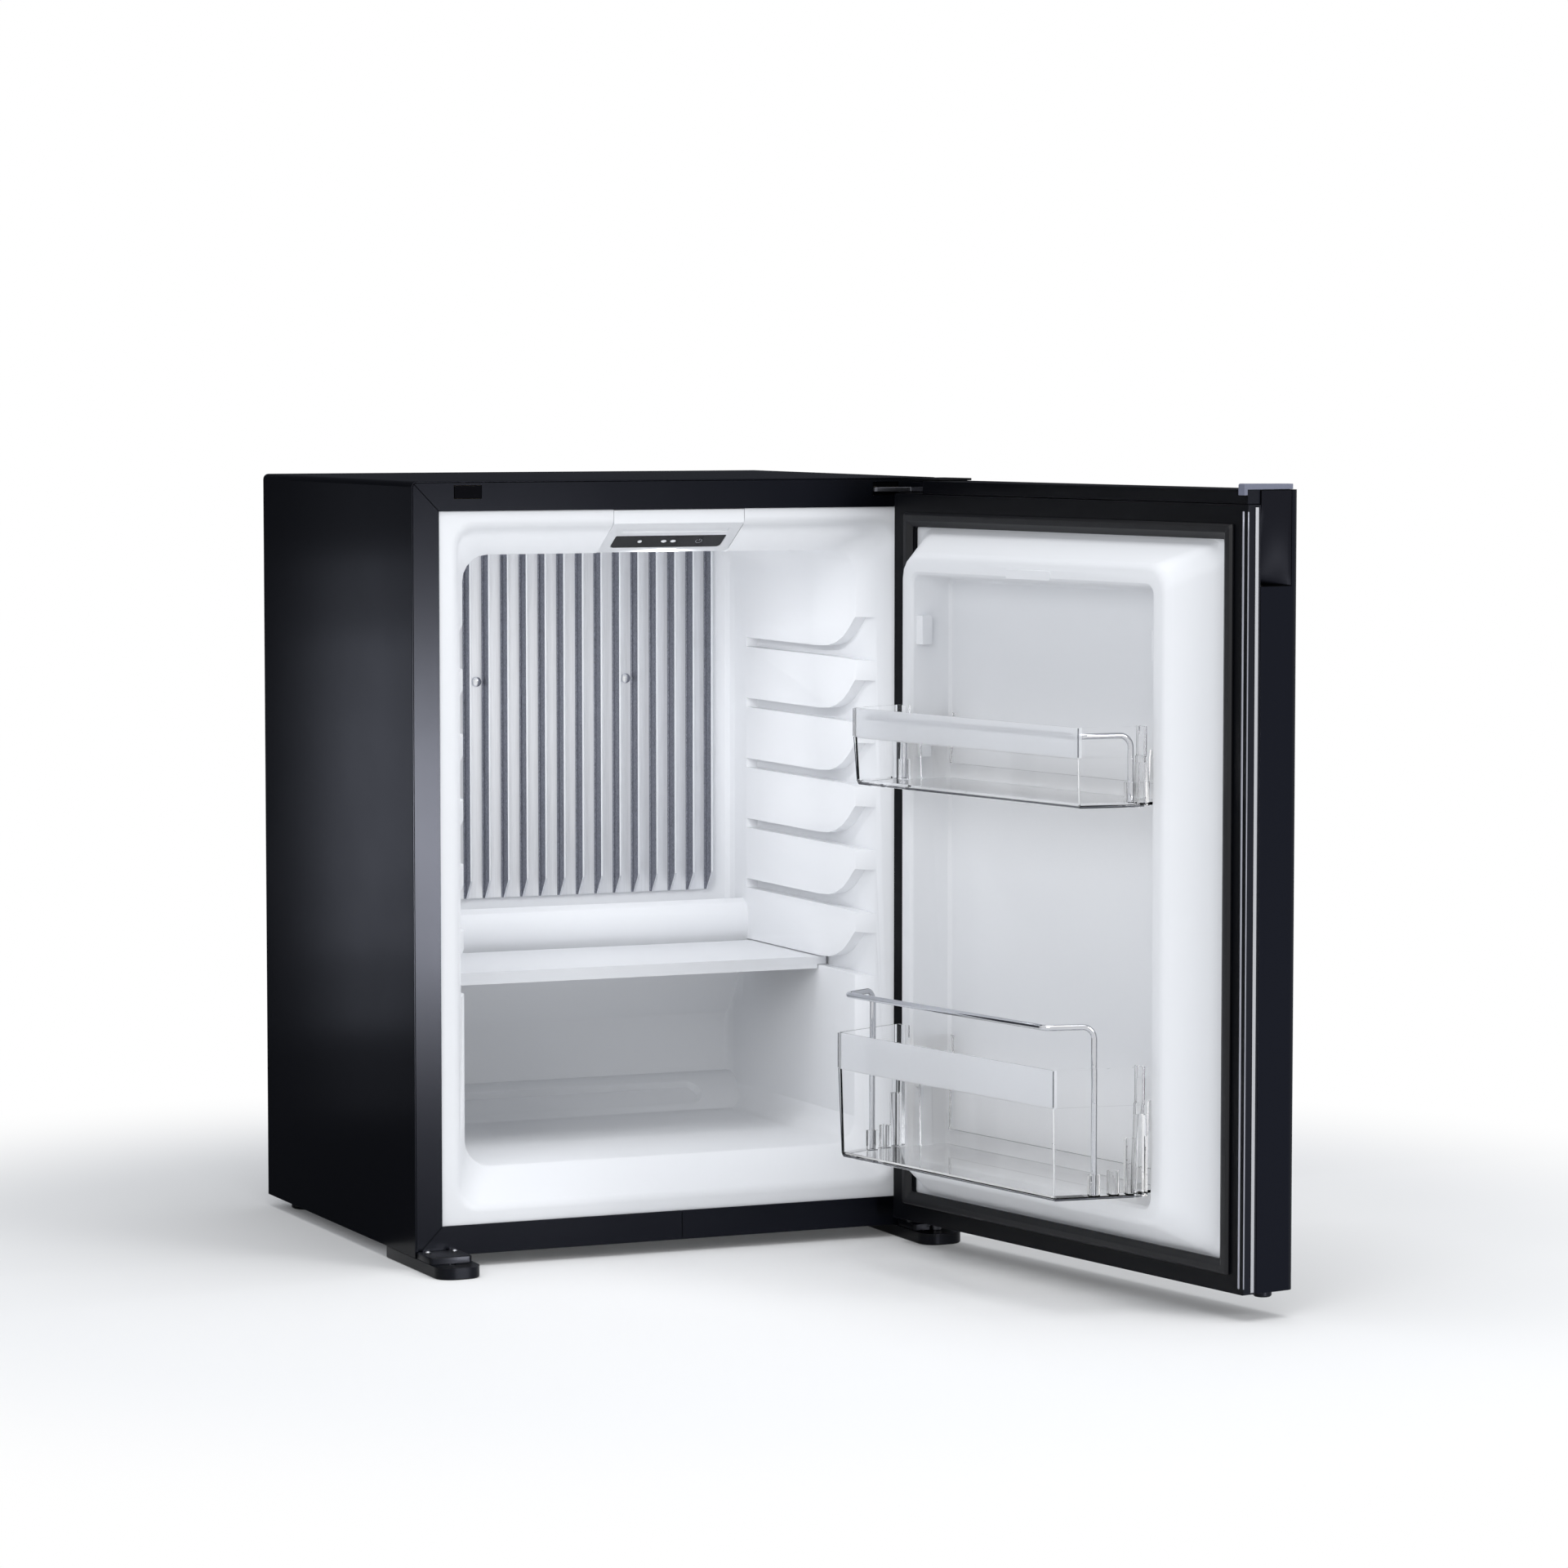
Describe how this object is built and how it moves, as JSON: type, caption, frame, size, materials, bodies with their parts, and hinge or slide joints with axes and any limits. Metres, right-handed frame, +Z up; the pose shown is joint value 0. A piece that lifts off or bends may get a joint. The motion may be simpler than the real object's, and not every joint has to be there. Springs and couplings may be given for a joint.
{
  "type": "minibar refrigerator",
  "caption": "Small free-standing fridge with a right-hung door, lit white interior, wire-guarded door bins and an absorption cooling unit behind.",
  "frame": {"origin": "under the middle of the whole object's box with the door open as at rest, on the plane that the feet stand on", "axes": "+Z up, -Y out of the open front, +X to the viewer's right, the side that the door hangs on"},
  "size_m": [0.4678, 0.8056, 0.5509],
  "materials": {
    "black_paint": "matt, finely textured",
    "black_plastic": "satin",
    "black_gloss": "glossy",
    "white_plastic": "soft gloss",
    "foam": "rigid foam",
    "rubber": "matt",
    "aluminium": "satin",
    "steel": "zinc plated",
    "chrome": "bright",
    "galvanised": "galvanised",
    "clear_plastic": "clear",
    "grey_plastic": "satin",
    "lens": "glossy",
    "pipe_paint": "satin"
  },
  "bodies": {
    "cabinet": {"outer_shell": "black_paint", "front_frame": "black_paint", "hinge_slot_plug": "black_plastic", "base_plate": "galvanised", "back_panel": "galvanised", "service_plug": "galvanised", "inner_liner": "white_plastic", "insulation_foam": "foam", "foot_front_left": "black_plastic", "foot_front_right": "black_plastic", "foot_rear_left": "black_plastic", "foot_rear_right": "black_plastic", "foot_screw_left_1": "steel", "foot_screw_left_2": "steel", "foot_screw_right_1": "steel", "foot_screw_right_2": "steel", "hinge_pin_lower": "steel", "hinge_plate_upper": "steel", "hinge_pin_upper": "steel", "evaporator_blades": "aluminium", "evaporator_screw_1": "steel", "evaporator_screw_2": "steel", "control_housing": "white_plastic", "control_display": "black_gloss", "light_lens_left": "lens", "light_lens_right": "lens", "status_lens": "lens", "boiler_casing": "galvanised", "absorber_vessel": "pipe_paint", "absorber_coil": "pipe_paint", "condenser_pipe": "pipe_paint", "condenser_fins": "aluminium", "solution_pipe": "pipe_paint", "evaporator_pipe": "pipe_paint", "unit_strap_lower": "galvanised", "unit_strap_upper": "galvanised", "electronics_box": "black_plastic", "mains_inlet": "black_plastic"},
    "door": {"door_skin": "black_paint", "door_handle_scoop": "black_plastic", "door_top_rail": "black_plastic", "door_bottom_rail": "black_plastic", "door_inner_frame": "black_plastic", "door_bright_strip": "chrome", "door_gasket": "rubber", "door_liner": "white_plastic", "door_foam": "foam", "door_cap_free_side": "grey_plastic", "door_cap_hinge_side": "black_plastic", "hinge_bush_lower": "grey_plastic", "hinge_bush_upper": "grey_plastic", "hinge_bush_spare": "black_plastic"},
    "shelf": {"shelf": "white_plastic"},
    "upper_bin": {"bin_upper": "clear_plastic"},
    "upper_wire": {"bin_wire_upper": "chrome"},
    "lower_bin": {"bin_lower": "clear_plastic"},
    "lower_wire": {"bin_wire_lower": "chrome"}
  },
  "joints": [
    {"name": "door_hinge", "type": "hinge", "parent": "cabinet", "child": "door", "pos_m": [0.15255, -0.01798, 0.2735], "axis": [0, 0, 1], "range_deg": [-100, 10]},
    {"name": "shelf_slide", "type": "slide", "parent": "cabinet", "child": "shelf", "axis": [0, -1, 0], "range_m": [0, 0.1]},
    {"name": "upper_bin_lift", "type": "slide", "parent": "door", "child": "upper_bin", "axis": [0, 0, 1], "range_m": [0, 0.025]},
    {"name": "lower_bin_lift", "type": "slide", "parent": "door", "child": "lower_bin", "axis": [0, 0, 1], "range_m": [0, 0.025]},
    {"name": "upper_wire_lift", "type": "slide", "parent": "upper_bin", "child": "upper_wire", "axis": [0, 0, 1], "range_m": [0, 0.012]},
    {"name": "lower_wire_lift", "type": "slide", "parent": "lower_bin", "child": "lower_wire", "axis": [0, 0, 1], "range_m": [0, 0.012]}
  ]
}
